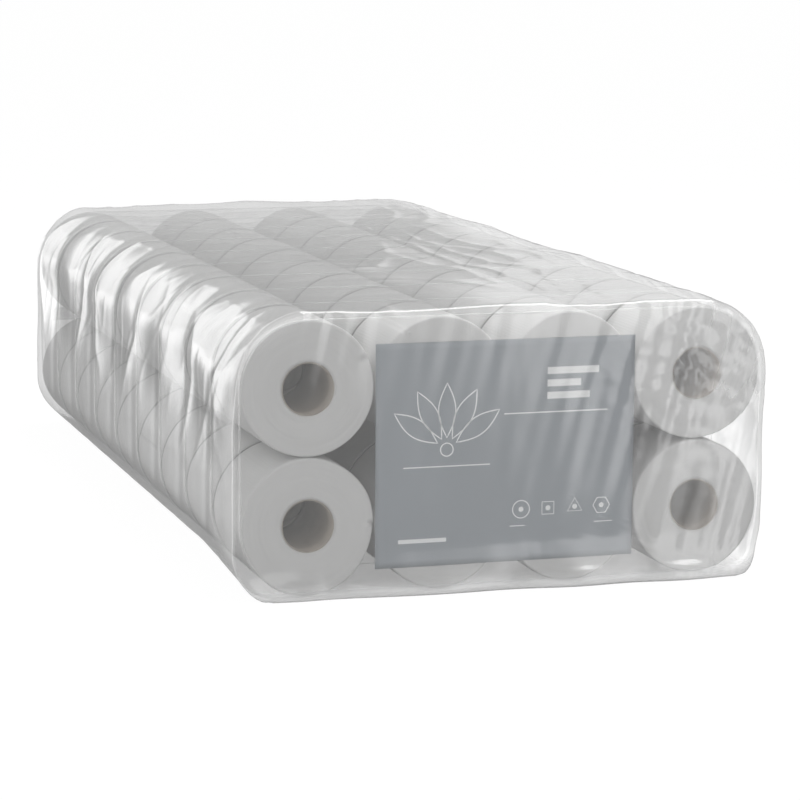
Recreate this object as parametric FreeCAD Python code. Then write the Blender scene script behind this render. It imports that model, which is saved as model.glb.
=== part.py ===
import FreeCAD, Part
import math
import os

# A clear bag of toilet rolls, lying on its long side. All sizes are in millimetres.
# X runs across the columns of rolls, Y from the printed front end to the welded back end, Z is up.
# The origin is the middle of the bag's footprint, on the surface that the bag rests on.
# The stack is built from its front left and moved to that origin at the end.

# How the rolls are stacked: every layer is one film-wrapped pack
columns = 4
rows = 2
layers = 9

# One roll of paper
rollDiameter = 114.6
rollWidth = 98.9
boreDiameter = 45.0
rollSquash = 0.3  # how far a roll is pressed flat on each side where it meets the next one
rollGap = 0.2  # between the flats of two rolls
tailStep = 0.5  # how far the loose end of the last turn stands proud
tailAngle = 97.0  # from the tail of one roll to the tail of the next, in degrees
outerTurns = 7.0  # the band of outer turns that is wound a little further back
innerTurns = 5.0  # the same around the core
turnStep = 0.4  # how far back both bands stand from the end of the roll

# The card tube inside a roll
coreFit = 0.15
coreWall = 1.0
coreRecess = 0.8  # from the end of the roll to the end of the tube

# The taut film around one layer of rolls
wrapWall = 0.25
wrapGap = 0.2  # from the rolls to the film
packGap = 0.2  # from one wrapped pack to the next

# The printed sheet between the front pack and the bag
sheetThickness = 0.3
sheetGap = 0.2  # from the sheet to the film on both sides
sheetSideMargin = 115.0  # bare front of the pack beside the sheet
sheetLowMargin = 18.4
sheetHighMargin = 22.6

# The loose outer bag
bagWall = 0.5
floorFold = 3.0  # thickness of the slack film that lies folded under the packs
floorGap = 0.3
sideSlack = 6.5
topSlack = 6.0
backSlack = 3.0
endRound = 6.0  # rounding of the film where it turns over the front and back end
floorRound = 2.4  # the same at the underside, where the packs press it down
floorTrim = 1.0  # the bag's outline reaches this far below the floor and is cut flat there
roundSteps = 4
tautCorner = 54.0  # radius of the bag's long corners where the film is tight
looseCorner = 36.0  # radius of the lower left corner at the front, where it hangs loose
looseLength = 170.0  # how far back that loose corner reaches
seamDip = 1.2  # how far the film sinks between two packs

# Creases in the bag
foldHeight = 1.8
foldWidth = 7.0
foldSink = 2.5  # how deep a crease reaches into the film before the inside is hollowed out

# The closed back end of the bag
weldHeight = 14.0
weldThickness = 1.2
weldInset = 22.0  # from the side of the bag to the end of the weld
flapThickness = 0.7
flapDepth = 95.0  # how far a folded side flap reaches across the back
flapHeight = 150.0
flapInset = 12.0

# Values that follow from the sizes above
rollRadius = rollDiameter / 2
pitch = rollDiameter - 2 * rollSquash + rollGap
wrapCorner = rollRadius + wrapGap + wrapWall
packWidth = (columns - 1) * pitch + 2 * wrapCorner
packHeight = (rows - 1) * pitch + 2 * wrapCorner
packDepth = rollWidth + 2 * (wrapGap + wrapWall)
packPitch = packDepth + packGap
packBottom = floorFold + floorGap
stackDepth = layers * packPitch - packGap
bagFront = -(2 * sheetGap + sheetThickness + bagWall)
bagBack = stackDepth + backSlack + bagWall
bagSide = packWidth / 2 + sideSlack + bagWall
bagTop = packBottom + packHeight + topSlack + bagWall

# Where the bag is creased. A place along the bag is counted in layers from the front.
# Around the upper left corner: layer, degrees above level, slant in degrees, radius of the bend
leftShoulderFolds = [
    (0.5, 150, 14, 44),
    (1.2, 158, -10, 40),
    (1.6, 165, 12, 46),
    (2.3, 155, 8, 38),
    (2.8, 168, -12, 44),
    (3.4, 160, 16, 46),
    (4.1, 152, 10, 40),
    (5.2, 165, -14, 42),
    (6.4, 158, 9, 44),
    (7.7, 166, -8, 40),
]
# Around the upper right corner, the same way
rightShoulderFolds = [
    (0.6, 35, 12, 42),
    (2.5, 28, -10, 44),
    (4.7, 40, 8, 40),
    (7.1, 30, -9, 44),
]
# Down the left and right sides: layer at the top, share of the height, layer at the foot, share
sideFolds = [
    (1.9, 0.66, 2.3, 0.30),
    (3.1, 0.70, 2.7, 0.34),
    (3.6, 0.62, 3.9, 0.28),
    (5.4, 0.66, 5.7, 0.36),
    (7.5, 0.68, 7.9, 0.40),
]
# Over the top: layer and share of the width at one end, then at the other
topFolds = [
    (0.9, 0.30, 1.1, 0.72),
    (2.2, 0.22, 2.0, 0.58),
    (3.9, 0.35, 4.2, 0.80),
    (6.1, 0.25, 5.9, 0.66),
    (7.8, 0.30, 8.1, 0.75),
]
# Across the front: share of the width and of the height at one end, then at the other
frontFolds = [
    (0.52, 0.90, 0.66, 0.42),
    (0.66, 0.93, 0.80, 0.50),
    (0.84, 0.94, 0.92, 0.66),
    (0.14, 0.92, 0.16, 0.62),
    (0.20, 0.08, 0.46, 0.05),
]


def vector(x, y, z):
    return FreeCAD.Vector(x, y, z)


def aroundY(centre, radius, degrees):
    # A point on a circle in the XZ plane, counted from +X towards +Z
    angle = math.radians(degrees)
    return centre + vector(radius * math.cos(angle), 0, radius * math.sin(angle))


def arc(centre, radius, start, end):
    middle = (start + end) / 2
    points = [aroundY(centre, radius, degrees) for degrees in (start, middle, end)]
    return Part.Arc(*points).toShape()


def tube(centre, radius, length):
    return Part.makeCylinder(radius, length, centre, vector(0, 1, 0))


def rollCentre(column, row, layer):
    x = (column - (columns - 1) / 2) * pitch
    y = layer * packPitch + wrapWall + wrapGap
    z = packBottom + wrapCorner + row * pitch
    return vector(x, y, z)


def roundedOutline(left, right, bottom, top, y, corners):
    # A closed outline across the bag. The corners are radii in the order
    # lower right, upper right, upper left, lower left.
    lowRight, highRight, highLeft, lowLeft = corners
    centres = [
        vector(right - lowRight, y, bottom + lowRight),
        vector(right - highRight, y, top - highRight),
        vector(left + highLeft, y, top - highLeft),
        vector(left + lowLeft, y, bottom + lowLeft),
    ]
    edges = []
    for number, (centre, radius) in enumerate(zip(centres, corners)):
        start = 90 * number - 90
        edges.append(arc(centre, radius, start, start + 90))
        following = (number + 1) % len(corners)
        lineEnd = aroundY(centres[following], corners[following], start + 90)
        lineStart = aroundY(centre, radius, start + 90)
        edges.append(Part.LineSegment(lineStart, lineEnd).toShape())
    return Part.Wire(edges)


def woundSection(degrees):
    # The last turn of the paper is two half circles, the second one a little tighter,
    # so that the outline ends in a step where the tail lies.
    centre = vector(0, 0, 0)
    tighter = tailStep / 2
    shifted = aroundY(centre, tighter, degrees + 180)
    tailFoot = aroundY(centre, rollRadius - tailStep, degrees)
    tailTop = aroundY(centre, rollRadius, degrees)
    outline = Part.Wire(
        [
            arc(centre, rollRadius, degrees, degrees + 180),
            arc(shifted, rollRadius - tighter, degrees + 180, degrees + 360),
            Part.LineSegment(tailFoot, tailTop).toShape(),
        ]
    )
    return Part.Face(outline)


def contactBox(column, row):
    # The space a roll keeps: flat towards each neighbour, free towards the film.
    pressed = rollRadius - rollSquash
    free = rollRadius + tailStep
    left = pressed if column > 0 else free
    right = pressed if column < columns - 1 else free
    below = pressed if row > 0 else free
    above = pressed if row < rows - 1 else free
    return Part.makeBox(left + right, rollWidth, below + above, vector(-left, 0, -below))


def roll(column, row, layer):
    number = (layer * rows + row) * columns + column
    paper = woundSection(tailAngle * number).extrude(vector(0, rollWidth, 0))
    paper = paper.common(contactBox(column, row))
    boreRadius = boreDiameter / 2
    tools = [tube(vector(0, 0, 0), boreRadius, rollWidth)]
    for start in (0, rollWidth - turnStep):
        base = vector(0, start, 0)
        tools.append(tube(base, boreRadius + innerTurns, turnStep))
        outside = tube(base, rollDiameter, turnStep)
        tools.append(outside.cut(tube(base, rollRadius - outerTurns, turnStep)))
    paper = paper.cut(tools)
    paper.translate(rollCentre(column, row, layer))
    return paper


def core(column, row, layer):
    radius = boreDiameter / 2 - coreFit
    length = rollWidth - 2 * coreRecess
    base = rollCentre(column, row, layer) + vector(0, coreRecess, 0)
    return tube(base, radius, length).cut(tube(base, radius - coreWall, length))


def inLayer(make, layer):
    places = [(column, row) for row in range(rows) for column in range(columns)]
    return Part.makeCompound([make(column, row, layer) for column, row in places])


def wrap(layer):
    # A closed film box with round long corners, hollow inside
    front = layer * packPitch
    hulls = []
    for wall in (0, wrapWall):
        outline = roundedOutline(
            -packWidth / 2 + wall,
            packWidth / 2 - wall,
            packBottom + wall,
            packBottom + packHeight - wall,
            front + wall,
            [wrapCorner - wall] * 4,
        )
        hulls.append(Part.Face(outline).extrude(vector(0, packDepth - 2 * wall, 0)))
    return hulls[0].cut(hulls[1])


def insertSheet():
    width = packWidth - 2 * sheetSideMargin
    height = packHeight - sheetLowMargin - sheetHighMargin
    corner = vector(-width / 2, -(sheetGap + sheetThickness), packBottom + sheetLowMargin)
    return Part.makeBox(width, sheetThickness, height, corner)


def bagOutline(y, wall, inset, rounding):
    # One outline of the bag, taken in by the film's wall and an inset. The rounding at the
    # underside runs from 1 on the end face to 0 where the bag lies flat.
    bottom = floorFold if wall else rounding * (floorRound + floorTrim) - floorTrim
    looseness = max(0, 1 - (y - bagFront) / looseLength)
    lowLeft = tautCorner - (tautCorner - looseCorner) * looseness
    taken = wall + inset
    corners = [tautCorner - taken] * 3 + [lowLeft - taken]
    return roundedOutline(-bagSide + taken, bagSide - taken, bottom, bagTop - taken, y, corners)


def bagHull(wall):
    # The bag's outer form, or the space inside it when a wall is given
    radius = endRound - wall
    front = []
    back = []
    for step in range(roundSteps + 1):
        angle = math.pi / 2 * step / roundSteps
        rounding = 1 - math.sin(angle)
        depth = wall + radius * (1 - math.cos(angle))
        front.append(bagOutline(bagFront + depth, wall, radius * rounding, rounding))
        back.append(bagOutline(bagBack - depth, wall, radius * rounding, rounding))
    run = []
    for half in range(1, 2 * layers):
        dip = seamDip if half % 2 == 0 else 0
        run.append(bagOutline(half * packPitch / 2, wall, dip, 0))
    return Part.makeLoft(front + run + back[::-1], True, True)


def polyhedron(faces):
    shell = Part.Shell([Part.Face(Part.makePolygon(list(face) + [face[0]])) for face in faces])
    return Part.Solid(shell)


def straightFold(start, end, outward):
    # A crease that rises from nothing to its crest half way and fades out again
    middle = (start + end) / 2
    across = (end - start).cross(outward)
    across.normalize()
    ring = [
        middle + across * (foldWidth / 2),
        middle + outward * foldHeight,
        middle - across * (foldWidth / 2),
        middle - outward * foldSink,
    ]
    faces = []
    for number, corner in enumerate(ring):
        following = ring[(number + 1) % len(ring)]
        faces.append((start - outward * foldSink, corner, following))
        faces.append((end - outward * foldSink, following, corner))
    fold = polyhedron(faces)
    if fold.Volume < 0:
        fold.reverse()
    return fold


def shoulderFold(side, layer, degrees, slant, radius):
    # A crease that bends around an upper corner of the bag: two flat cones base to base,
    # sunk so far that only their rim shows.
    corner = vector(side * (bagSide - tautCorner), layer * packPitch, bagTop - tautCorner)
    outward = aroundY(vector(0, 0, 0), 1, degrees)
    centre = corner + outward * (tautCorner - radius + foldHeight)
    axis = FreeCAD.Rotation(outward, slant).multVec(vector(0, 1, 0))
    half = foldWidth / 2
    inner = radius - foldSink
    cones = [Part.makeCone(radius, inner, half, centre, way) for way in (axis, axis * -1)]
    return cones[0].fuse(cones[1])


def sideFold(side, layerHigh, shareHigh, layerLow, shareLow):
    high = vector(side * bagSide, layerHigh * packPitch, bagTop * shareHigh)
    low = vector(side * bagSide, layerLow * packPitch, bagTop * shareLow)
    return straightFold(high, low, vector(side, 0, 0))


def topFold(layerStart, shareStart, layerEnd, shareEnd):
    width = 2 * bagSide
    start = vector(width * shareStart - bagSide, layerStart * packPitch, bagTop)
    end = vector(width * shareEnd - bagSide, layerEnd * packPitch, bagTop)
    return straightFold(start, end, vector(0, 0, 1))


def frontFold(acrossStart, upStart, acrossEnd, upEnd):
    width = 2 * bagSide
    start = vector(width * acrossStart - bagSide, bagFront, bagTop * upStart)
    end = vector(width * acrossEnd - bagSide, bagFront, bagTop * upEnd)
    return straightFold(start, end, vector(0, -1, 0))


def backFlap(side):
    # The side of the bag folded in as a flat triangle over the back end
    edge = side * (bagSide - flapInset)
    middle = bagTop / 2
    start = bagBack - bagWall
    points = [
        vector(edge, start, middle - flapHeight / 2),
        vector(edge - side * flapDepth, start, middle),
        vector(edge, start, middle + flapHeight / 2),
    ]
    face = Part.Face(Part.makePolygon(points + points[:1]))
    return face.extrude(vector(0, bagWall + flapThickness, 0))


def backWeld():
    # The welded edge of the bag, laid flat across the back end
    length = 2 * (bagSide - weldInset)
    start = vector(-length / 2, bagBack - bagWall, (bagTop - weldHeight) / 2)
    return Part.makeBox(length, bagWall + weldThickness, weldHeight, start)


def outerBag():
    folds = [shoulderFold(-1, *values) for values in leftShoulderFolds]
    folds += [shoulderFold(1, *values) for values in rightShoulderFolds]
    folds += [sideFold(side, *values) for side in (-1, 1) for values in sideFolds]
    folds += [topFold(*values) for values in topFolds]
    folds += [frontFold(*values) for values in frontFolds]
    closure = [backFlap(-1), backFlap(1), backWeld()]
    film = bagHull(0).fuse(folds + closure)
    length = 2 * bagBack
    underFloor = Part.makeBox(
        2 * packWidth, length, floorTrim, vector(-packWidth, -length / 4, -floorTrim)
    )
    return film.cut([underFloor, bagHull(bagWall)])


def build():
    pieces = {"outer_bag": outerBag(), "label_insert": insertSheet()}
    for layer in range(layers):
        pieces[f"wrap_layer_{layer + 1}"] = wrap(layer)
        pieces[f"rolls_layer_{layer + 1}"] = inLayer(roll, layer)
        pieces[f"cores_layer_{layer + 1}"] = inLayer(core, layer)
    box = pieces["outer_bag"].optimalBoundingBox(False, False)
    toOrigin = vector(-box.Center.x, -box.Center.y, 0)
    for shape in pieces.values():
        shape.translate(toOrigin)
    return pieces


os.makedirs("parts", exist_ok=True)
for node, shape in build().items():
    shape.exportStep(f"parts/{node}.step")
    print(node, len(shape.Solids), "solids", round(shape.Volume / 1000, 1), "cm3")
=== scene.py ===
import math

import bpy
import numpy as np
from mathutils import Matrix, Vector


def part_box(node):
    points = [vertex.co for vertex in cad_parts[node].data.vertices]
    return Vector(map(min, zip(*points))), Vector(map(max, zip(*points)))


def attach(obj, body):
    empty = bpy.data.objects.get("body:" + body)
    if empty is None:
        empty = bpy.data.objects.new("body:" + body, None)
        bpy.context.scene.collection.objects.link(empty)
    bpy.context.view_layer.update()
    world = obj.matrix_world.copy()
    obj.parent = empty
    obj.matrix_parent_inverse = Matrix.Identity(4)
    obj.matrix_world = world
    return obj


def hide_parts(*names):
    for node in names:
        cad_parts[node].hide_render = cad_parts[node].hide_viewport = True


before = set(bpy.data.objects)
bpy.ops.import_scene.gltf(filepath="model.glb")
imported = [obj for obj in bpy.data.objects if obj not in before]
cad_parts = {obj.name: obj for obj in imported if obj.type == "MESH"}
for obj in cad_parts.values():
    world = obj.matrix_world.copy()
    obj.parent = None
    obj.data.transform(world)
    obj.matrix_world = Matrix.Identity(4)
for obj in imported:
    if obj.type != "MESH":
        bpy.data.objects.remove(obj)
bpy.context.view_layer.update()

# A clear bag of wrapped toilet rolls. Lengths are in metres, in the frame of the CAD model:
# X across the columns, the printed sheet faces -Y, Z is up.

layerCount = sum(str(name).startswith("rolls_layer_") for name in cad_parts)
rollsLow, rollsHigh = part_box("rolls_layer_1")
coresLow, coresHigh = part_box("cores_layer_1")
wrapLow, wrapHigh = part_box("wrap_layer_1")
layerPitch = (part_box(f"wrap_layer_{layerCount}")[0].y - wrapLow.y) / (layerCount - 1)


# shader helpers

class Shade:
    # a node's output that works in Python expressions

    def __init__(self, finish, socket):
        self.finish = finish
        self.socket = socket

    def math(self, operation, first, second):
        return self.finish.node("Math", {"operation": operation}, {0: first, 1: second})

    def __add__(self, other):
        return self.math("ADD", self, other)

    def __radd__(self, other):
        return self.math("ADD", other, self)

    def __sub__(self, other):
        return self.math("SUBTRACT", self, other)

    def __rsub__(self, other):
        return self.math("SUBTRACT", other, self)

    def __mul__(self, other):
        return self.math("MULTIPLY", self, other)

    def __rmul__(self, other):
        return self.math("MULTIPLY", other, self)

    def __truediv__(self, other):
        return self.math("DIVIDE", self, other)

    def __pow__(self, other):
        return self.math("POWER", self, other)


class Finish:
    # a material that is put together node by node

    def __init__(self, name):
        self.material = bpy.data.materials.new(name)
        self.material.use_nodes = True
        self.tree = self.material.node_tree
        self.tree.nodes.clear()

    def node(self, kind, settings=None, values=None, output=0):
        made = self.tree.nodes.new("ShaderNode" + kind)
        for key, value in (settings or {}).items():
            if key == "stops":
                for place, level in value[2:]:
                    made.color_ramp.elements.new(place)
                for stop, (place, level) in zip(made.color_ramp.elements, value):
                    stop.position = place
                    stop.color = (level, level, level, 1)
            else:
                setattr(made, key, value)
        for key, value in (values or {}).items():
            if isinstance(value, Shade):
                self.tree.links.new(value.socket, made.inputs[key])
            else:
                made.inputs[key].default_value = value
        return Shade(self, made.outputs[output]) if made.outputs else None

    def done(self, surface):
        self.node("OutputMaterial", None, {"Surface": surface})
        return self.material

    def smoothStep(self, value, low, high):
        return self.node(
            "MapRange",
            {"interpolation_type": "SMOOTHSTEP"},
            {"Value": value, "From Min": low, "From Max": high},
        )

    def tint(self, factor, colourA, colourB):
        return self.node("Mix", {"data_type": "RGBA"}, {0: factor, 6: colourA, 7: colourB}, 2)

    def scaled(self, vector, factors):
        return self.node("VectorMath", {"operation": "MULTIPLY"}, {0: vector, 1: factors})

    def noise(self, vector, scale, detail=2.0, roughness=0.5, distortion=0.0):
        values = {
            "Vector": vector,
            "Scale": scale,
            "Detail": detail,
            "Roughness": roughness,
            "Distortion": distortion,
        }
        return self.node("TexNoise", None, values)


def grey(level):
    return (level, level, level, 1)


# mesh helpers

def newPiece(name, points, faces, materials, finishOf=None, uv=None):
    mesh = bpy.data.meshes.new(name)
    mesh.from_pydata(np.asarray(points).tolist(), [], faces)
    for material in materials:
        mesh.materials.append(material)
    if finishOf is not None:
        mesh.polygons.foreach_set("material_index", finishOf)
    if uv is not None:
        corners = np.zeros(len(mesh.loops), np.int32)
        mesh.loops.foreach_get("vertex_index", corners)
        layer = mesh.uv_layers.new(name="flat")
        layer.data.foreach_set("uv", np.asarray(uv, np.float32)[corners].ravel())
    mesh.polygons.foreach_set("use_smooth", [True] * len(mesh.polygons))
    mesh.update()
    piece = bpy.data.objects.new(name, mesh)
    bpy.context.collection.objects.link(piece)
    return piece


def joinParts(parts):
    # parts are (points, faces, finish numbers, uv) and become one mesh
    points, faces, finishes, uvs, start = [], [], [], [], 0
    for part in parts:
        points.append(part[0])
        faces += [[corner + start for corner in face] for face in part[1]]
        finishes += list(part[2])
        uvs.append(part[3])
        start += len(part[0])
    return np.concatenate(points), faces, finishes, np.concatenate(uvs)


def gridFaces(rows, columns, closed):
    # quads between neighbouring points of a grid whose columns may close on themselves
    row = np.arange(rows - 1)[:, None]
    column = np.arange(columns if closed else columns - 1)[None, :]
    here = row * columns + column
    beside = row * columns + (column + 1) % columns
    quads = np.stack([here, beside, beside + columns, here + columns], -1)
    return quads.reshape(-1, 4).tolist()


def settle(piece, node):
    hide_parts(node)
    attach(piece, "root")


# paper rolls

roll = {
    "radius": 0.0573,
    "bore": 0.0225,
    "edge": 0.0024,
    # how far the painted shade in the gap reaches from a roll's rear end
    "shutReach": 0.0060,
    "tail": 0.0006,
    "tailTurn": math.radians(97),
    "pressed": 0.0570,
    "bands": 0.0004,
    "columns": 4,
    "rows": 2,
    "steps": 72,
    "paper": (0.66, 0.66, 0.655, 1),
    "cut": (0.66, 0.66, 0.655, 1),
    # the colour of the painted shade in the gap between a roll and the next layer's roll
    "shut": (0.05, 0.05, 0.05, 1),
    "sag": 0.0027,
}


def rollEndFinish():
    f = Finish("cutTissue")
    flat = f.node("UVMap", {"uv_map": "flat"})
    turns = f.noise(f.scaled(flat, (9, 2600, 1)), 1.0, 3.0, 0.7)
    bands = f.noise(f.scaled(flat, (6, 330, 1)), 1.0, 2.0, 0.5)
    spots = f.noise(f.node("TexCoord", None, None, 3), 320.0, 3.0, 0.6)
    shade = f.smoothStep(turns * 0.5 + bands * 0.3 + spots * 0.2, 0.3, 0.62)
    colour = f.tint(shade, [0.88 * value for value in roll["cut"][:3]] + [1], roll["cut"])
    height = turns * 0.6 + bands * 0.5 + spots * 0.4
    bump = f.node("Bump", None, {"Strength": 0.5, "Distance": 0.0004, "Height": height})
    values = {"Base Color": colour, "Roughness": 0.95, "Normal": bump}
    values["Specular IOR Level"] = 0.15
    return f.done(f.node("BsdfPrincipled", None, values))


def rollSideFinish(name, beforeAnother):
    # painted shade: the rear end of a roll that stands before another is darkened in its colour, where the two
    # meet and shade falls in the gap
    f = Finish(name)
    length = rollsHigh.y - rollsLow.y
    flat = f.node("UVMap", {"uv_map": "flat"})
    axes = {"Vector": flat}
    around = f.node("SeparateXYZ", None, axes, 0)
    along = f.node("SeparateXYZ", None, axes, 1)
    pitch = 2 * math.pi / 0.0052
    wave = [
        f.node("Math", {"operation": "SINE"}, {0: (around + along * sign) * pitch})
        for sign in (1, -1)
    ]
    dots = f.smoothStep(wave[0] * wave[1], 0.25, 0.95)
    fibres = f.noise(f.node("TexCoord", None, None, 3), 700.0, 3.0, 0.65)
    mottle = f.noise(f.node("TexCoord", None, None, 3), 28.0, 2.0, 0.5)
    fromPerforation = f.node("Math", {"operation": "PINGPONG"}, {0: around, 1: 0.0625})
    perforation = 1 - f.smoothStep(fromPerforation, 0.0003, 0.0012)
    shade = mottle * 0.5 + fibres * 0.25 + dots * 0.25
    dark = [0.9 * value for value in roll["paper"][:3]] + [1]
    colour = f.tint(f.smoothStep(shade - perforation * 0.1, 0.2, 0.62), dark, roll["paper"])
    # painted shade: darker towards the rear end, where the next roll stands
    if beforeAnother:
        place = f.node("SeparateXYZ", None, {"Vector": f.node("TexCoord", None, None, 3)}, 1)
        layer = f.node("Math", {"operation": "FRACT"}, {0: (place - rollsLow.y) / layerPitch})
        shut = f.smoothStep(layer * layerPitch, length - roll["shutReach"], length - roll["edge"] * 1.25)
        colour = f.tint(shut, colour, roll["shut"])
    height = fibres * 0.5 - dots * 0.7 - perforation * 0.6
    bump = f.node("Bump", None, {"Strength": 0.45, "Distance": 0.0004, "Height": height})
    values = {"Base Color": colour, "Roughness": 0.95, "Normal": bump}
    values["Specular IOR Level"] = 0.15
    return f.done(f.node("BsdfPrincipled", None, values))


def rollProfile(length, rings):
    # (radius share, radius inset, place along the roll, finish) from bore to bore
    front = []
    for number in range(rings + 1):
        share = number / rings
        front.append((share, roll["edge"] * share, 0.0, 0))
    edge = []
    for number in range(1, 4):
        angle = math.pi / 2 * number / 3
        inset = roll["edge"] * (1 - math.sin(angle))
        edge.append((1.0, inset, roll["edge"] * (1 - math.cos(angle)), 1))
    side = [(1.0, 0.0, length * number / 9, 1) for number in range(1, 9)]
    back = [(share, inset, length - along, kind) for share, inset, along, kind in front + edge]
    bore = [(0.0, 0.0, length * number / 2, 1) for number in (1,)]
    return front + edge + side + back[::-1] + bore


def rollPart(column, row, layer, low, high, rings):
    number = (layer * roll["rows"] + row) * roll["columns"] + column
    random = np.random.default_rng(number + 11)
    columnPitch = (coresHigh.x - coresLow.x - 2 * coreTube["radius"]) / (roll["columns"] - 1)
    rowPitch = (coresHigh.z - coresLow.z - 2 * coreTube["radius"]) / (roll["rows"] - 1)
    centreX = coresLow.x + coreTube["radius"] + column * columnPitch
    centreZ = coresLow.z + coreTube["radius"] + row * rowPitch
    steps = roll["steps"]
    share = np.arange(steps + 1) / steps
    start = roll["tailTurn"] * number
    angle = start + 2 * math.pi * share
    radius = roll["radius"] - roll["tail"] * share
    # a little out of round, and pressed flat where it meets its neighbours
    for turn in (2, 3, 5):
        phase, size = random.uniform(0, 6.28), random.uniform(0.00005, 0.00016)
        radius = radius - size * (1 + np.cos(turn * angle + phase))
    if row == 0:
        radius = radius + roll["sag"] * np.clip(-np.sin(angle), 0, 1) ** 3
    pressed = [(1, column < roll["columns"] - 1), (-1, column > 0)]
    for sign, meets in pressed:
        if meets:
            toward = np.maximum(sign * np.cos(angle), 0.01)
            radius = np.minimum(radius, roll["pressed"] / toward)
    for sign, meets in [(1, row < roll["rows"] - 1), (-1, row > 0)]:
        if meets:
            toward = np.maximum(sign * np.sin(angle), 0.01)
            radius = np.minimum(radius, roll["pressed"] / toward)
    profile = rollProfile(high - low, rings)
    points, uv = [], []
    travelled, last = 0.0, None
    sway = random.uniform(-1, 1, 4) * 0.00018
    for place, (part, inset, along, kind) in enumerate(profile):
        tailPart = max(0.0, (part - 0.85) / 0.15)
        outer = radius + roll["tail"] * share * (1 - tailPart)
        reach = roll["bore"] + (outer - roll["bore"]) * part - inset
        lift = 0.0
        if kind == 0:
            rim = max(0.0, (part - 0.8) / 0.2) ** 2 + max(0.0, (0.14 - part) / 0.14)
            lift = roll["bands"] * 0.6 * rim + 0.00012 * random.uniform(-1, 1) * (part < 0.95)
            lift = max(0.0, lift)
        middle = (along - (high - low) / 2) / (high - low)
        y = low + along + (lift if along < (high - low) / 2 else -lift)
        wobble = 1.0
        if kind == 1 and part == 1.0:
            wobble = sway[0] * np.cos(angle * 2 + middle * 5) + sway[1] * np.cos(angle * 3 - middle * 7)
            reach = reach - abs(wobble)
        ring = np.stack(
            [centreX + reach * np.cos(angle), np.full(steps + 1, y), centreZ + reach * np.sin(angle)],
            -1,
        )
        here = (float(reach[0]), y)
        if last is not None:
            travelled += math.dist(here, last)
        last = here
        points.append(ring)
        uv.append(np.stack([share * 2 * math.pi * roll["radius"], np.full(steps + 1, travelled)], -1))
    points = np.concatenate(points)
    quads = np.array(gridFaces(len(profile) + 1, steps + 1, True)) % len(points)
    kinds = [min(a[3], b[3]) for a, b in zip(profile, profile[1:] + profile[:1])]
    finishes = np.repeat(kinds, steps + 1)
    # the last column joins the first one, and has no width where the tail leaves no step
    width = [np.linalg.norm(points[quads[:, a]] - points[quads[:, b]], axis=1) for a, b in ((0, 1), (3, 2))]
    real = np.maximum(*width) > 1e-6
    return points, quads[real].tolist(), finishes[real].tolist(), np.concatenate(uv)


# card cores

coreTube = {
    "radius": 0.02235,
    "wall": 0.001,
    "steps": 44,
    "card": (0.42, 0.37, 0.315, 1),
    "seam": (0.24, 0.205, 0.17, 1),
}


def coreFinish():
    f = Finish("greyCard")
    flat = f.node("UVMap", {"uv_map": "flat"})
    around = f.node("SeparateXYZ", None, {"Vector": flat}, 0)
    along = f.node("SeparateXYZ", None, {"Vector": flat}, 1)
    winding = f.node("Math", {"operation": "FRACT"}, {0: around / 0.1404 + along / 0.12})
    fromSeam = f.node("Math", {"operation": "PINGPONG"}, {0: winding, 1: 0.5})
    seam = 1 - f.smoothStep(fromSeam, 0.006, 0.02)
    place = f.node("TexCoord", None, None, 3)
    fibres = f.noise(place, 420.0, 4.0, 0.65)
    patches = f.noise(place, 60.0, 2.0, 0.5)
    dark = [0.8 * value for value in coreTube["card"][:3]] + [1]
    card = f.tint(f.smoothStep(fibres * 0.6 + patches * 0.4, 0.3, 0.7), dark, coreTube["card"])
    colour = f.tint(seam * 0.8, card, coreTube["seam"])
    bump = f.node(
        "Bump", None, {"Strength": 0.5, "Distance": 0.0004, "Height": fibres * 0.4 - seam}
    )
    values = {"Base Color": colour, "Roughness": 0.85, "Normal": bump}
    values["Specular IOR Level"] = 0.25
    return f.done(f.node("BsdfPrincipled", None, values))


def corePart(centreX, centreZ, low, high):
    steps = coreTube["steps"]
    angle = 2 * math.pi * np.arange(steps) / steps
    outer, inner = coreTube["radius"], coreTube["radius"] - coreTube["wall"]
    profile = [(inner, low + (high - low) * number / 6) for number in range(7)]
    profile += [(outer, high), (outer, (low + high) / 2), (outer, low)]
    points, uv = [], []
    for radius, y in profile:
        points.append(
            np.stack(
                [centreX + radius * np.cos(angle), np.full(steps, y), centreZ + radius * np.sin(angle)],
                -1,
            )
        )
        uv.append(np.stack([angle * outer, np.full(steps, y)], -1))
    total = len(profile) * steps
    faces = gridFaces(len(profile) + 1, steps, True)
    faces = [[corner % total for corner in face][::-1] for face in faces]
    return np.concatenate(points), faces, [0] * len(faces), np.concatenate(uv)


# film

film = {
    "clear": 0.99,
    "haze": (0.92, 0.92, 0.92, 1),
    # painted highlight along the joints between packs
    "weldMilk": 0.33,
    "topMilk": 0.06,
    # painted sheen: an even veil over the right of the printed end
    "rightMilk": 0.03,
    "cornerMilk": 0.22,
    "backMilk": 0.13,
    "leftMilk": 0.24,
    # painted reflection: slanting streaks of a bright light on the printed end's right
    "streakMilk": 0.07,
    "slackMilk": 0.42,
}


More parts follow.
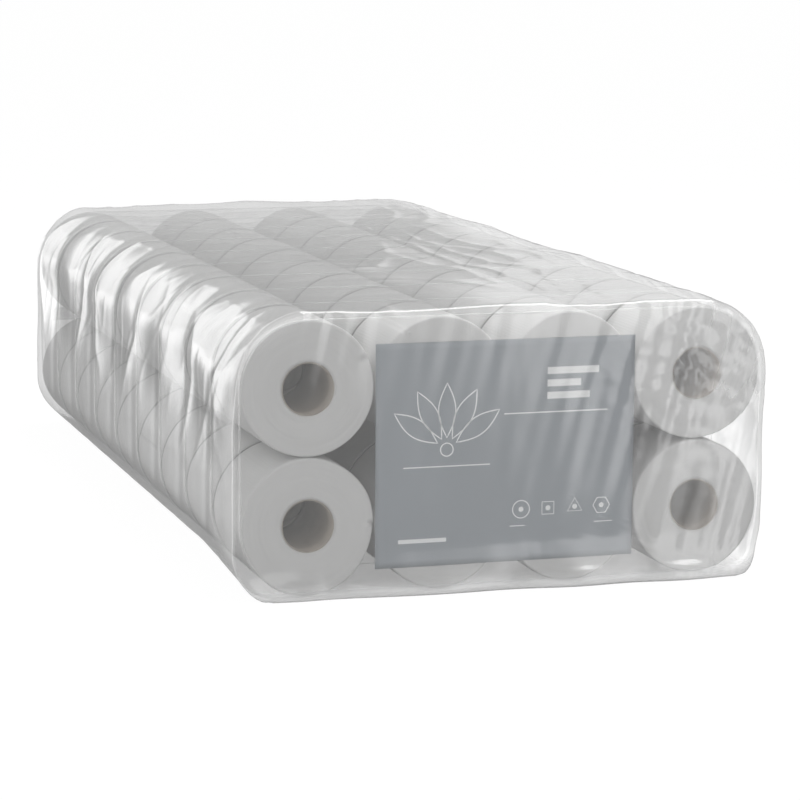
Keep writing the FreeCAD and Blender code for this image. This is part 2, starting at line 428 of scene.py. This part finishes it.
def filmFinish(name, mirror, rough, milk, ripple=None, band=None):
    # what the film passes is clear, what it mirrors grows towards a grazing view
    f = Finish(name)
    bent = {}
    veil = milk[0]
    if ripple:
        place = f.scaled(f.node("TexCoord", None, None, 3), ripple["stretch"])
        height = f.noise(place, ripple["scale"], 2.0, 0.5, 0.4)
        bump = {"Strength": 1.0, "Distance": ripple["height"], "Height": height}
        bent = {"Normal": f.node("Bump", None, bump)}
        veil = f.smoothStep(height, 0.5, 0.75) * (milk[1] - milk[0]) + milk[0]
    if band:
        veil = band(f) + veil
    facing = f.node("LayerWeight", None, {"Blend": 0.5, **bent}, 1)
    mirrored = facing ** 3.5 * mirror["grazing"] + mirror["facing"]
    shine = f.node("BsdfGlossy", None, {"Color": grey(1), "Roughness": rough, **bent})
    through = f.node("BsdfTransparent", None, {"Color": grey(film["clear"])})
    clear = f.node("MixShader", None, {0: mirrored, 1: through, 2: shine})
    cloud = f.node("BsdfDiffuse", None, {"Color": film["haze"]})
    return f.done(f.node("MixShader", None, {0: veil, 1: clear, 2: cloud}))


def waves(seed, count=9):
    # a smooth random field of two coordinates, about -1 to 1, the same each run
    random = np.random.default_rng(seed)
    heading = random.uniform(0, 2 * math.pi, count)
    length = random.uniform(0.55, 1.5, count)
    phase = random.uniform(0, 2 * math.pi, count)
    kx, ky = np.cos(heading) * length, np.sin(heading) * length

    def field(a, b):
        total = np.zeros_like(a)
        for x, y, shift in zip(kx, ky, phase):
            total += np.sin(2 * math.pi * (a * x + b * y) + shift)
        return total * math.sqrt(2 / count)

    return field


def creases(a, b, seed, across, along, turn, sharp):
    # sharp-crested folds: they follow the lines where a smooth field passes zero
    c, s = math.cos(turn), math.sin(turn)
    over, down = (a * c + b * s) / across, (b * c - a * s) / along
    bend = waves(seed + 1)(over * 0.35, down * 0.6)
    field = waves(seed)(over + bend * 0.25, down)
    return np.exp(-np.abs(field) / sharp)


def outline(halfWidth, low, high, corners, plan):
    # points and outward directions around a rounded rectangle, counted from the lower right
    centres = [
        (halfWidth - corners[0], low + corners[0]),
        (halfWidth - corners[1], high - corners[1]),
        (-halfWidth + corners[2], high - corners[2]),
        (-halfWidth + corners[3], low + corners[3]),
    ]
    points, normals = [], []
    for number, ((x, z), radius) in enumerate(zip(centres, corners)):
        arcSteps, lineSteps = plan[number]
        angle = math.pi / 2 * (number - 1 + np.arange(arcSteps + 1) / arcSteps)
        normal = np.stack([np.cos(angle), np.sin(angle)], -1)
        arc = np.array([x, z]) + radius * normal
        points.append(arc)
        normals.append(normal)
        x2, z2 = centres[(number + 1) % 4]
        radius2 = corners[(number + 1) % 4]
        end = np.array([x2, z2]) + radius2 * normal[-1]
        share = (np.arange(1, lineSteps) / lineSteps)[:, None]
        points.append(arc[-1] + (end - arc[-1]) * share)
        normals.append(np.repeat(normal[-1:], lineSteps - 1, 0))
    return np.concatenate(points), np.concatenate(normals)


def filmSkin(shape, relief):
    # a closed skin: front cap, rounded edge, sides, rounded edge, back cap
    rows = []
    rounding = shape["round"]
    for number in range(1, shape["capRows"][0] + 1):
        rows.append((shape["front"], rounding, number / shape["capRows"][0], 0.0))
    edges = shape["edgeRows"]
    for number in range(1, edges + 1):
        angle = math.pi / 2 * number / edges
        depth = rounding * (1 - math.cos(angle))
        rows.append((shape["front"] + depth, rounding * (1 - math.sin(angle)), 1.0, math.sin(angle)))
    run = shape["back"] - shape["front"] - 2 * rounding
    for number in range(1, shape["sideRows"]):
        y = shape["front"] + rounding + run * number / shape["sideRows"]
        rows.append((y, 0.0, 1.0, 1.0))
    for number in range(edges, -1, -1):
        angle = math.pi / 2 * number / edges
        depth = rounding * (1 - math.cos(angle))
        rows.append((shape["back"] - depth, rounding * (1 - math.sin(angle)), 1.0, math.sin(angle)))
    for number in range(shape["capRows"][1] - 1, 0, -1):
        rows.append((shape["back"], rounding, number / shape["capRows"][1], 0.0))
    middle = (shape["front"] + shape["back"]) / 2
    centre = np.array([0.0, (shape["low"] + shape["high"]) / 2])
    points, normals = [], []
    for y, inset, share, sideways in rows:
        corners = [max(radius - inset, 0.0005) for radius in shape["corners"](y)]
        lift = shape["lowRound"] * inset / rounding
        flat, out = outline(
            shape["side"] - inset, shape["low"] + lift, shape["high"] - inset, corners, shape["plan"]
        )
        flat = centre + (flat - centre) * share
        points.append(np.insert(flat, 1, y, 1))
        end = (-1 if y < middle else 1) * math.sqrt(max(0.0, 1 - sideways ** 2))
        normals.append(np.insert(out * sideways, 1, end, 1))
    around = len(points[0])
    points, normals = np.concatenate(points), np.concatenate(normals)
    ends = np.array(
        [[centre[0], shape["front"], centre[1]], [centre[0], shape["back"], centre[1]]]
    )
    points = np.concatenate([points, ends])
    normals = np.concatenate([normals, [[0, -1, 0], [0, 1, 0]]])
    reference = outline(
        shape["side"], shape["low"], shape["high"], shape["corners"](middle), shape["plan"]
    )[0]
    stepLength = np.linalg.norm(np.diff(reference, axis=0), axis=1)
    travelled = np.concatenate([[0], np.cumsum(stepLength)])
    travelled = np.concatenate([np.tile(travelled, len(rows)), [0, 0]])
    points = points + normals * relief(points, normals, travelled)[:, None]
    faces = gridFaces(len(rows), around, True)
    last = (len(rows) - 1) * around
    for number in range(around):
        following = (number + 1) % around
        faces.append([len(points) - 2, following, number])
        faces.append([len(points) - 1, last + number, last + following])
    uv = np.stack([travelled, points[:, 1]], -1)
    return points, faces, [0] * len(faces), uv


def turnedTo(f, axis, sign):
    # 1 where the skin looks along the axis
    facing = f.node("SeparateXYZ", None, {"Vector": f.node("TexCoord", None, None, 1)}, axis)
    return f.smoothStep(facing * sign, 0.6, 0.9)


def placeOf(f):
    place = f.node("TexCoord", None, None, 3)
    return [f.node("SeparateXYZ", None, {"Vector": place}, axis) for axis in range(3)]


def paintedSeamHighlightAndTopHaze(f):
    # painted highlight: the wraps' film is paler along the joint between two packs, counted from that joint; the
    # tops are a little milky
    along = placeOf(f)[1]
    joint = (along - wrapLow.y + layerPitch / 2) / layerPitch
    fromJoint = f.node("Math", {"operation": "FRACT"}, {0: joint}) - 0.5
    fromJoint = f.node("Math", {"operation": "ABSOLUTE"}, {0: fromJoint})
    endFace = turnedTo(f, 1, 1) + turnedTo(f, 1, -1)
    # painted highlight on the sides and top next to each joint
    paler = (1 - f.smoothStep(fromJoint, 0.006, 0.022)) * (1 - endFace) * film["weldMilk"]
    return paler + turnedTo(f, 2, 1) * film["topMilk"]


def slackFilmAndPaintedSheen(f):
    # the slack film under the packs lies in many layers; towards the right of the printed end, slanting streaks
    # and an even veil are a painted reflection of a bright light, and the upper part is milkier
    x, y, z = placeOf(f)
    slack = (1 - f.smoothStep(z, 0.002, 0.017)) * film["slackMilk"]
    leaning = f.node("CombineXYZ", None, {"X": (x - z * 0.3) * 75, "Z": z * 6})
    # painted reflection: slanting streaks of a bright light on the printed end's right
    streaks = f.noise(leaning, 1.0, 3.0, 0.55, 0.4)
    toRight = f.smoothStep(x - z * 0.15, 0.07, 0.18) * turnedTo(f, 1, -1)
    slack = slack + f.smoothStep(y, -0.15, 0.4) * turnedTo(f, 2, 1) * film["backMilk"]
    nearEnd = 1 - f.smoothStep(y - wrapLow.y, 0.018, 0.05)
    slack = slack + nearEnd * turnedTo(f, 0, -1) * film["leftMilk"]
    # painted sheen over the printed end's right, plus a milkier upper right corner
    cornerMilkAndSheen = f.smoothStep(z, 0.12, 0.17) * film["cornerMilk"] + film["rightMilk"]
    return slack + toRight * (f.smoothStep(streaks, 0.42, 0.64) * film["streakMilk"] + cornerMilkAndSheen)


# inner wraps

wrap = {
    "inset": 0.00012,
    "round": 0.0016,
    "corner": 0.0577,
    "plan": [(12, 6), (12, 30), (12, 6), (12, 24)],
    "sag": 0.0009,
}


def wrapSkin(layer):
    low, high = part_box(f"wrap_layer_{layer + 1}")
    radius = roll["radius"]
    columnPitch = (coresHigh.x - coresLow.x - 2 * coreTube["radius"]) / (roll["columns"] - 1)

    def relief(points, normals, travelled):
        # taut over the rolls, drawn in a little over the valleys between them
        x, y, z = points.T
        fromRoll = np.abs((x / columnPitch + 0.5) % 1 - 0.5) * 2
        flatTop = np.abs(normals[:, 2]) > 0.99
        flatSide = np.abs(normals[:, 0]) > 0.99
        waist = np.exp(-(((z - (low.z + high.z) / 2) / 0.03) ** 2))
        inside = 1 - np.abs((y - (low.y + high.y) / 2) / ((high.y - low.y) / 2)) ** 4
        valley = 1 - fromRoll
        pull = flatTop * valley ** 2 * wrap["sag"] + flatSide * waist * wrap["sag"]
        wrinkle = waves(40 + layer)(travelled / 0.016, y / 0.11) * 0.00004
        return -(pull * inside) + wrinkle * (flatTop | flatSide)

    shape = {
        "side": high.x - wrap["inset"],
        "low": low.z + wrap["inset"],
        "high": high.z - wrap["inset"],
        "front": low.y + wrap["inset"],
        "back": high.y - wrap["inset"],
        "round": wrap["round"],
        "lowRound": wrap["round"],
        "corners": lambda y: [wrap["corner"]] * 4,
        "plan": wrap["plan"],
        "capRows": (8, 8),
        "edgeRows": 3,
        "sideRows": 12,
    }
    return filmSkin(shape, relief)


# outer bag

bag = {
    "sideSlack": 0.0052,
    "topSlack": 0.0055,
    "frontSlack": 0.0011,
    "backSlack": 0.0035,
    "round": 0.0062,
    "lowRound": 0.0024,
    "taut": 0.054,
    "upperLeft": 0.062,
    "upperRight": 0.060,
    "lowRight": 0.044,
    "lean": 0.003,
    "loose": 0.036,
    "looseLength": 0.17,
    "floor": 0.0004,
    "plan": [(20, 22), (22, 86), (36, 44), (22, 24)],
    "capRows": (62, 16),
    "edgeRows": 5,
    "sideRows": 215,
    "seamDip": 0.0012,
    "flapInset": 0.010,
    "flapDepth": 0.095,
    "flapHeight": 0.150,
    "flapThickness": 0.0008,
    "weldInset": 0.020,
    "weldHeight": 0.014,
    "weldThickness": 0.0018,
}


def bagRelief(points, normals, travelled):
    x, y, z = points.T
    nx, ny, nz = normals.T
    front = points[:, 1].min()
    left, right = np.clip(-nx, 0, 1), np.clip(nx, 0, 1)
    top, ahead = np.clip(nz, 0, 1), np.clip(-ny, 0, 1)
    behind = np.clip(ny, 0, 1)
    upper = np.clip((z - 0.09) / 0.07, 0, 1)
    shoulder = np.clip(left * 1.2, 0, 1) * upper
    seam = (y - wrapLow.y) / layerPitch
    fromSeam = np.abs((seam + 0.5) % 1 - 0.5) * layerPitch
    inner = np.clip((y - front) / 0.05, 0, 1)
    dips = -bag["seamDip"] * np.exp(-((fromSeam / 0.012) ** 2)) * inner * (1 - ahead) * (1 - behind)
    dips = dips * (1 - 0.75 * (left + right) * (1 - upper) - 0.7 * left * upper)
    # the long folds on the left run down and to the back, close together on the upper corner
    folds = 0.0022 * creases(y, travelled, 3, 0.170, 0.30, -0.55, 0.6)
    folds += 0.0005 * creases(y, travelled, 8, 0.075, 0.15, -0.35, 0.3)
    swell = 0.0020 * waves(21)(travelled / 0.15, y / 0.17)
    leftPart = shoulder * folds + left * (swell * (0.08 + 0.57 * upper) - bag["lean"] * upper)
    # across the top the folds run lengthwise
    topFolds = 0.0012 * creases(x, y, 30, 0.075, 0.30, -0.12, 0.5)
    toBack = np.clip((y + 0.1) / 0.5, 0, 1)
    topPart = top * (topFolds + 0.0009 * waves(24)(x / 0.16, y / 0.30) + 0.0010 * toBack)
    rightPart = right * upper * (0.0014 * creases(y, travelled, 44, 0.05, 0.14, 0.5, 0.5))
    # the printed end: slanting ripples to the right, crumpled by the upper right corner
    toRight = np.clip((x + 0.02) / 0.16, 0, 1)
    ripples = 0.00032 * (1 + waves(55)((x - z * 0.25) / 0.019, z / 0.30))
    corner = np.exp(-(((x - 0.185) / 0.05) ** 2) - (((z - 0.175) / 0.055) ** 2))
    crumple = 0.0026 * creases(x, z, 61, 0.020, 0.07, 0.95, 0.35) * corner
    overLeftRoll = np.exp(-(((x + 0.163) / 0.032) ** 2)) * np.clip((z - 0.13) / 0.05, 0, 1)
    ripples = ripples * (0.12 + toRight + 1.1 * overLeftRoll)
    pouch = (0.0150 + 0.004 * toRight) * np.exp(-(((z - 0.004) / 0.014) ** 2))
    pouch = pouch * (1 + 0.25 * waves(57)(x / 0.11, z / 0.2))
    pouch = pouch * (1 - 0.8 * np.exp(-(((x + 0.232) / 0.045) ** 2)))
    aheadPart = ahead * (ripples + crumple + 0.0004)
    behindPart = behind * (0.0012 * creases(x, z, 71, 0.06, 0.14, 1.3, 0.5))
    grounded = np.clip((z - 0.004) / 0.02, 0, 1)
    return (dips + leftPart + topPart + rightPart + aheadPart + behindPart) * grounded + ahead * pouch


def bagCorners(y):
    front = wrapLow.y - bag["frontSlack"]
    looseness = max(0.0, 1 - (y - front) / bag["looseLength"])
    lowLeft = bag["taut"] - (bag["taut"] - bag["loose"]) * looseness
    return [bag["lowRight"], bag["upperRight"], bag["upperLeft"], lowLeft]


def backPlate(place, rows, columns, thickness, kind):
    # a flat piece of film on the back end: place gives x and z for shares of 0 to 1
    down, along = np.meshgrid(np.linspace(0, 1, rows), np.linspace(0, 1, columns), indexing="ij")
    x, z = place(down.ravel(), along.ravel())
    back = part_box(f"wrap_layer_{layerCount}")[1].y + bag["backSlack"]
    start = np.full_like(x, back)
    normals = np.tile([0.0, 1.0, 0.0], (len(x), 1))
    y = back + bagRelief(np.stack([x, start, z], -1), normals, x)
    pucker = waves(77)(x / 0.03, z / 0.05) * 0.00012
    outer = np.stack([x, y + thickness + pucker, z], -1)
    inner = np.stack([x, y + 0.0001, z], -1)
    faces = [face[::-1] for face in gridFaces(rows, columns, False)]
    count = len(x)
    faces += [[corner + count for corner in face[::-1]] for face in faces]
    rim = list(range(columns)) + [(row + 1) * columns - 1 for row in range(1, rows)]
    rim += [(rows - 1) * columns + column for column in range(columns - 2, -1, -1)]
    rim += [row * columns for row in range(rows - 2, 0, -1)]
    for here, following in zip(rim, rim[1:] + rim[:1]):
        faces.append([here, following, following + count, here + count])
    points = np.concatenate([outer, inner])
    return points, faces, [kind] * len(faces), points[:, [0, 2]]


def bagClosure():
    # the sides fold in as flat triangles, and the weld lies across them
    side = wrapHigh.x + bag["sideSlack"]
    middle = (wrapHigh.z + bag["topSlack"]) / 2
    parts = []
    for sign in (-1, 1):
        edge = side - bag["flapInset"]

        def flap(down, along, sign=sign, edge=edge):
            reach = (1 - np.abs(2 * down - 1)) * bag["flapDepth"]
            x = sign * (edge - reach * along + 0.0012 * np.sin(9 * down) * along)
            return x, middle + (down - 0.5) * bag["flapHeight"]

        parts.append(backPlate(flap, 41, 22, bag["flapThickness"], 1))

    def weld(down, along):
        x = (along - 0.5) * 2 * (side - bag["weldInset"])
        sway = 0.0010 * np.sin(13 * along) + 0.0006 * np.sin(31 * along + 1)
        return x, middle + sway + (down - 0.5) * bag["weldHeight"]

    parts.append(backPlate(weld, 15, 160, bag["weldThickness"], 2))
    for point in parts[-1][0][:15 * 160]:
        point[1] += 0.00018 * math.cos((point[2] - middle) * 2 * math.pi / 0.0035)
    return parts


def bagSkin():
    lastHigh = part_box(f"wrap_layer_{layerCount}")[1]
    shape = {
        "side": wrapHigh.x + bag["sideSlack"],
        "low": bag["floor"],
        "high": wrapHigh.z + bag["topSlack"],
        "front": wrapLow.y - bag["frontSlack"],
        "back": lastHigh.y + bag["backSlack"],
        "round": bag["round"],
        "lowRound": bag["lowRound"],
        "corners": bagCorners,
        "plan": bag["plan"],
        "capRows": bag["capRows"],
        "edgeRows": bag["edgeRows"],
        "sideRows": bag["sideRows"],
    }
    skin = filmSkin(shape, bagRelief)
    skin[0][:, 2] = np.maximum(skin[0][:, 2], bag["floor"] / 2)
    return skin


# printed sheet

label = {
    "print": 0.00006,
    "line": 0.0011,
    "grey": (0.325, 0.350, 0.376, 1),
    "white": (0.88, 0.89, 0.89, 1),
}


def sheetFinish():
    f = Finish("greyPrint")
    place = f.node("TexCoord", None, None, 3)
    grain = f.noise(place, 600.0, 3.0, 0.6)
    cloud = f.noise(place, 9.0, 2.0, 0.5)
    dark = [0.93 * value for value in label["grey"][:3]] + [1]
    colour = f.tint(f.smoothStep(grain * 0.4 + cloud * 0.6, 0.3, 0.7), dark, label["grey"])
    bump = f.node("Bump", None, {"Strength": 0.1, "Distance": 0.0003, "Height": grain})
    values = {"Base Color": colour, "Roughness": 0.6, "Normal": bump}
    return f.done(f.node("BsdfPrincipled", None, values))


def inkFinish():
    f = Finish("whitePrint")
    grain = f.noise(f.node("TexCoord", None, None, 3), 700.0, 2.0, 0.6)
    light = label["white"]
    dark = [0.92 * value for value in light[:3]] + [1]
    colour = f.tint(grain, dark, light)
    values = {"Base Color": colour, "Roughness": 0.6}
    return f.done(f.node("BsdfPrincipled", None, values))


def ribbon(path, width, closed=False):
    # a flat line of even width along points in the plane of the sheet
    path = np.asarray(path, float)
    before = np.roll(path, 1, 0)
    after = np.roll(path, -1, 0)
    if not closed:
        before[0], after[-1] = path[0], path[-1]
    ahead = after - before
    ahead /= np.linalg.norm(ahead, axis=1, keepdims=True)
    across = np.stack([-ahead[:, 1], ahead[:, 0]], -1) * width / 2
    count = len(path)
    points = np.concatenate([path - across, path + across])
    last = count if closed else count - 1
    faces = []
    for number in range(last):
        following = (number + 1) % count
        faces.append([number, following, following + count, number + count])
    return points, faces


def filled(path):
    path = np.asarray(path, float)
    return path, [list(range(len(path)))]


def ring(x, z, radius, steps=36, start=0.0, end=2 * math.pi):
    angle = start + (end - start) * np.arange(steps) / (steps - (0 if end - start > 6.28 else 1))
    return np.stack([x + radius * np.cos(angle), z + radius * np.sin(angle)], -1)


def printShapes():
    # generic marks: a fan of leaves, bars, rules and a row of small plain figures.
    # Places are counted from the sheet's lower left corner.
    line = label["line"]
    shapes = []
    for number, length in enumerate((0.046, 0.030, 0.038)):
        z = 0.158 - number * 0.0105
        shapes.append(filled([(0.150, z), (0.150 + length, z), (0.150 + length, z + 0.006), (0.150, z + 0.006)]))
    shapes.append(ribbon([(0.112, 0.126), (0.204, 0.126)], line))
    for number in range(5):
        heading = math.radians(35 + 27.5 * number)
        share = np.linspace(0, 1, 15)
        reach = 0.010 + 0.046 * share
        swell = 0.0075 * np.sin(math.pi * share)
        u = np.array([math.cos(heading), math.sin(heading)])
        n = np.array([-u[1], u[0]])
        base = np.array([0.062, 0.098])
        sideA = base + reach[:, None] * u + swell[:, None] * n
        sideB = base + reach[:, None] * u - swell[:, None] * n
        shapes.append(ribbon(np.concatenate([sideA, sideB[-2:0:-1]]), line, True))
    shapes.append(ribbon(ring(0.062, 0.098, 0.0055, 28), line, True))
    shapes.append(ribbon([(0.024, 0.084), (0.100, 0.084)], line))
    for number in range(4):
        x, z, size = 0.128 + number * 0.024, 0.044, 0.0075
        corners = (32, 4, 3, 6)[number]
        turn = (0, math.pi / 4, math.pi / 2, 0)[number]
        shapes.append(ribbon(ring(x, z, size, corners, turn, turn + 2 * math.pi), line * 0.8, True))
        shapes.append(filled(ring(x, z, size * 0.3, 16)))
    shapes.append(ribbon([(0.118, 0.030), (0.210, 0.030)], line * 0.7))
    shapes.append(filled([(0.020, 0.020), (0.062, 0.020), (0.062, 0.0235), (0.020, 0.0235)]))
    return shapes


def sheetPiece():
    low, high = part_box("label_insert")
    across, up = 40, 34
    width, height = high.x - low.x, high.z - low.z
    u, v = np.meshgrid(np.linspace(0, 1, across + 1), np.linspace(0, 1, up + 1))
    u, v = u.ravel(), v.ravel()

    def bow(x, z):
        # the sheet lies a little wavy between the films
        return 0.00008 * waves(81)(x / 0.12, z / 0.15)

    parts = []
    for y, flip in ((low.y + 0.0001, False), (high.y - 0.0001, True)):
        x, z = low.x + width * u, low.z + height * v
        points = np.stack([x, y + bow(x, z), z], -1)
        faces = gridFaces(up + 1, across + 1, False)
        if flip:
            faces = [face[::-1] for face in faces]
        parts.append((points, faces, [0] * len(faces), np.stack([x, z], -1)))
    points, faces, finishes, uv = joinParts(parts)
    # close the cut edges between the two faces
    count = (up + 1) * (across + 1)
    rim = [column for column in range(across + 1)]
    rim += [(across + 1) * (row + 1) - 1 for row in range(1, up + 1)]
    rim += [up * (across + 1) + column for column in range(across - 1, -1, -1)]
    rim += [(across + 1) * row for row in range(up - 1, 0, -1)]
    for here, following in zip(rim, rim[1:] + rim[:1]):
        faces.append([following, here, here + count, following + count])
        finishes.append(0)
    parts = [(points, faces, finishes, uv)]
    for flat, flatFaces in printShapes():
        x, z = low.x + flat[:, 0], low.z + flat[:, 1]
        y = low.y + 0.0001 + bow(x, z) - label["print"]
        parts.append((np.stack([x, y, z], -1), flatFaces, [1] * len(flatFaces), np.stack([x, z], -1)))
    points, faces, finishes, uv = joinParts(parts)
    piece = newPiece("printedSheet", points, faces, [sheetFinish(), inkFinish()], finishes, uv)
    settle(piece, "label_insert")


def buildRolls():
    ends = rollEndFinish()
    sides = [rollSideFinish("embossedTissue", True), rollSideFinish("rearTissue", False)]
    for layer in range(layerCount):
        finishes = [ends, sides[layer == layerCount - 1]]
        low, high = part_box(f"rolls_layer_{layer + 1}")
        rings = 12 if layer in (0, layerCount - 1) else 4
        parts = [
            rollPart(column, row, layer, low.y, high.y, rings)
            for row in range(roll["rows"])
            for column in range(roll["columns"])
        ]
        points, faces, kinds, uv = joinParts(parts)
        piece = newPiece(f"rollsLayer{layer + 1}", points, faces, finishes, kinds, uv)
        settle(piece, f"rolls_layer_{layer + 1}")
    print("rolls made")


def buildCores():
    finish = coreFinish()
    radius = coreTube["radius"]
    for layer in range(layerCount):
        low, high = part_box(f"cores_layer_{layer + 1}")
        xs = np.linspace(low.x + radius, high.x - radius, roll["columns"])
        zs = np.linspace(low.z + radius, high.z - radius, roll["rows"])
        parts = [corePart(x, z, low.y, high.y) for z in zs for x in xs]
        points, faces, kinds, uv = joinParts(parts)
        piece = newPiece(f"coresLayer{layer + 1}", points, faces, [finish], kinds, uv)
        settle(piece, f"cores_layer_{layer + 1}")
    print("cores made")


def buildFilms():
    tight = filmFinish(
        "tightFilm", {"facing": 0.045, "grazing": 0.36}, 0.14, (0.008, 0.008), band=paintedSeamHighlightAndTopHaze
    )
    for layer in range(layerCount):
        points, faces, kinds, uv = wrapSkin(layer)
        piece = newPiece(f"wrapLayer{layer + 1}", points, faces, [tight], kinds, uv)
        settle(piece, f"wrap_layer_{layer + 1}")
    ripple = {"scale": 15.0, "height": 0.0008, "stretch": (1.0, 0.7, 0.4)}
    loose = filmFinish(
        "looseFilm", {"facing": 0.08, "grazing": 0.66}, 0.10, (0.008, 0.04), ripple, slackFilmAndPaintedSheen
    )
    folded = filmFinish("foldedFilm", {"facing": 0.10, "grazing": 0.66}, 0.12, (0.06, 0.16), ripple)
    welded = filmFinish("weldedFilm", {"facing": 0.12, "grazing": 0.66}, 0.2, (0.16, 0.3), ripple)
    points, faces, kinds, uv = joinParts([bagSkin()] + bagClosure())
    piece = newPiece("outerBag", points, faces, [loose, folded, welded], kinds, uv)
    settle(piece, "outer_bag")
    print("films made")


# camera, from the outlines of the roll ends in the photograph

camera = {
    "fromRolls": (-0.8016, -2.2913, 0.5555),
    "heading": 0.3000,
    "pitch": -0.1637,
    "roll": 0.0066,
    "lens": 132.67,
}


def buildCamera():
    data = bpy.data.cameras.new("mainCamera")
    data.lens = camera["lens"]
    data.clip_end = 100
    view = bpy.data.objects.new("mainCamera", data)
    bpy.context.collection.objects.link(view)
    heading, pitch, tilt = camera["heading"], camera["pitch"], camera["roll"]
    forward = Vector(
        (
            math.sin(heading) * math.cos(pitch),
            math.cos(heading) * math.cos(pitch),
            math.sin(pitch),
        )
    )
    right = Vector((math.cos(heading), -math.sin(heading), 0))
    up = right.cross(forward)
    tiltedRight = right * math.cos(tilt) + up * math.sin(tilt)
    tiltedUp = up * math.cos(tilt) - right * math.sin(tilt)
    turn = Matrix((tiltedRight, tiltedUp, -forward)).transposed()
    place = Vector(camera["fromRolls"]) + Vector((0, rollsLow.y, rollsLow.z))
    view.matrix_world = Matrix.Translation(place) @ turn.to_4x4()
    bpy.context.scene.camera = view


# studio

studio = {
    "ambient": 0.52,
    "mirrored": 0.38,
    "rightWall": 0.46,
    "leftWall": 1.45,
    "frontWall": 1.75,
    "floorMirrored": 0.95,
    "floorSize": 24.0,
    "floorWhite": 0.45,
    "floorGlow": 0.88,
    "floorLevel": 1.10,
}


def addLamp(name, place, target, size, brightness, glossOnly=False):
    data = bpy.data.lights.new(name, "AREA")
    data.shape = "RECTANGLE"
    data.size, data.size_y = size
    data.energy = brightness * math.pi * size[0] * size[1]
    lamp = bpy.data.objects.new(name, data)
    bpy.context.collection.objects.link(lamp)
    aim = Vector(target) - Vector(place)
    lamp.matrix_world = Matrix.Translation(place) @ aim.to_track_quat("-Z", "Y").to_matrix().to_4x4()
    lamp.visible_camera = False
    if glossOnly:
        lamp.visible_diffuse = False
        lamp.visible_transmission = False
        lamp.visible_volume_scatter = False


def whiteSeen(f):
    # 1 for the rays that show the background, directly or through a clear surface
    rays = [f.node("LightPath", None, None, output) for output in (0, 6)]
    return f.node("Math", {"operation": "MAXIMUM"}, {0: rays[0], 1: rays[1]})


def mirroredRoom(f):
    # how bright the room is that the films mirror, by direction
    way = f.node("TexCoord", None, None, 0)
    x, y, z = [f.node("SeparateXYZ", None, {"Vector": way}, axis) for axis in range(3)]
    aboveFloor = f.smoothStep(z, -0.02, 0.02)
    floorBehind = f.smoothStep(0 - x, 0.14, 0.32) * 0.6 + 0.35
    farWall = f.smoothStep(y, 0.70, 0.88)
    rightWall = f.smoothStep(x, 0.29, 0.33) * aboveFloor * farWall * studio["rightWall"]
    leftWall = f.smoothStep(z * 0.6 - x, 0.14, 0.35) * farWall * studio["leftWall"]
    behind = floorBehind + aboveFloor * (studio["mirrored"] - floorBehind) + rightWall + leftWall
    high = f.smoothStep(z * 2.5 + x, -0.118, -0.038) * f.smoothStep(x, 0.28, 0.35)
    beside = f.smoothStep(x, 0.375, 0.425) * 0.5
    frontWall = f.node("Math", {"operation": "MAXIMUM"}, {0: high, 1: beside}) * studio["frontWall"]
    front = (frontWall + studio["floorMirrored"]) * (1 - f.smoothStep(x, 0.50, 0.64) * 0.75)
    return front + f.smoothStep(y, -0.1, 0.1) * (behind - front)


def buildStudio():
    world = bpy.data.worlds.new("studio")
    bpy.context.scene.world = world
    world.use_nodes = True
    f = Finish("floorPaper")
    seen = whiteSeen(f)
    ground = f.node("BsdfDiffuse", None, {"Color": grey(studio["floorWhite"])})
    glow = f.node("Emission", None, {"Color": grey(1), "Strength": studio["floorLevel"]})
    floorMaterial = f.done(
        f.node("MixShader", None, {0: seen * studio["floorGlow"], 1: ground, 2: glow})
    )
    tree = world.node_tree
    tree.nodes.clear()
    f = Finish.__new__(Finish)
    f.tree = tree
    glossy = f.node("LightPath", None, None, 3)
    strength = whiteSeen(f) * (1 - studio["ambient"]) + studio["ambient"]
    strength = strength + glossy * (mirroredRoom(f) - studio["ambient"])
    sky = f.node("Background", None, {"Color": grey(1), "Strength": strength})
    f.node("OutputWorld", None, {"Surface": sky})
    size = studio["floorSize"]
    points = [(-size, -size, 0), (size, -size, 0), (size, size, 0), (-size, size, 0)]
    floor = newPiece("floor", points, [[0, 1, 2, 3]], [floorMaterial])
    floor.visible_glossy = False
    addLamp("above", (0.8, 0.1, 2.6), (0, 0, 0.1), (1.6, 1.6), 4.8)
    addLamp("frontLeft", (-2.2, -2.0, 1.8), (0, -0.2, 0.1), (1.5, 1.5), 1.2)
    addLamp("left", (-3.0, 0.2, 0.9), (-0.2, 0, 0.1), (1.6, 1.2), 1.6)
    addLamp("front", (-0.5, -3.0, 1.2), (0, -0.4, 0.1), (2.0, 2.0), 0.9)
    print("studio made")


buildCamera()
buildRolls()
buildCores()
sheetPiece()
buildFilms()
buildStudio()

scene = bpy.context.scene
scene.view_settings.view_transform = "Standard"
scene.cycles.transparent_max_bounces = 40
